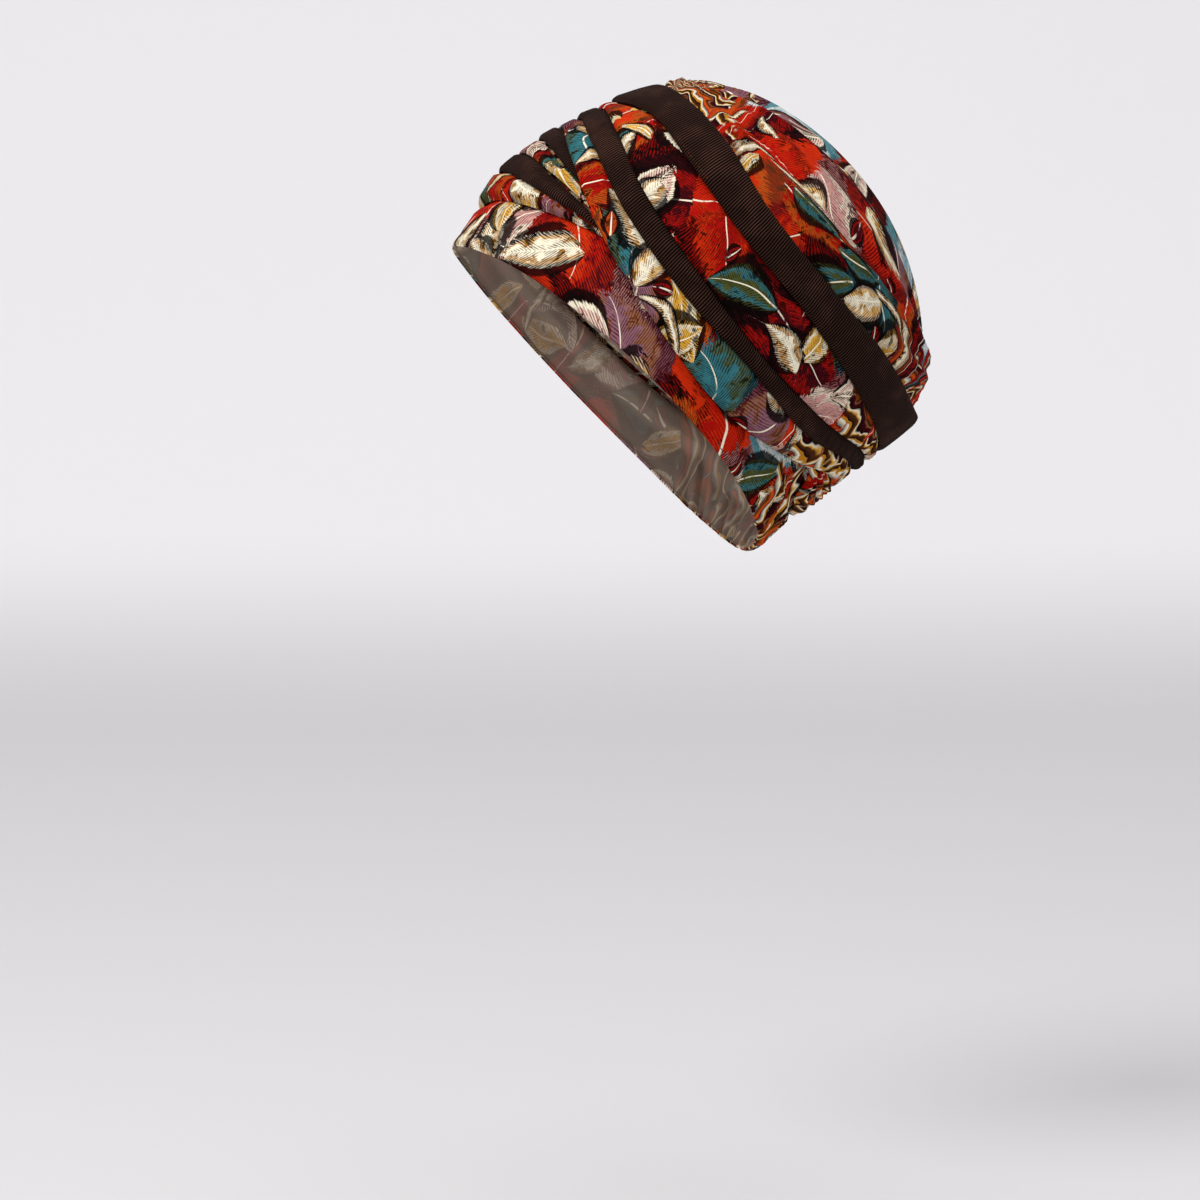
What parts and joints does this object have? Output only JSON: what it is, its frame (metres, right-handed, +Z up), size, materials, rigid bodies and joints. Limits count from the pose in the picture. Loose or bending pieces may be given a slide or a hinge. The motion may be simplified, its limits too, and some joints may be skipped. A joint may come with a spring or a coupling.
{
  "type": "turban headwrap",
  "caption": "Soft turban headwrap of printed and ribbed cloth strips wrapped over a gathered crown, hollow and open at the rim.",
  "frame": {"origin": "middle of the head opening at the rim", "axes": "+X to the left side as worn, -Y to the forehead, +Z up as worn"},
  "size_m": [0.1611, 0.2183, 0.2122],
  "materials": {
    "print_cloth": "soft printed jersey with a fine rib",
    "brown_rib": "matt dark brown ribbed knit"
  },
  "bodies": {
    "root": {"head_band": "print_cloth", "crown_cap": "print_cloth", "nape_gather": "print_cloth", "front_print_lower": "print_cloth", "front_brown_lower": "brown_rib", "front_print_upper": "print_cloth", "front_brown_upper": "brown_rib", "side_print_front": "print_cloth", "side_brown_narrow": "brown_rib", "side_print_back": "print_cloth", "side_brown_wide": "brown_rib"}
  },
  "joints": []
}
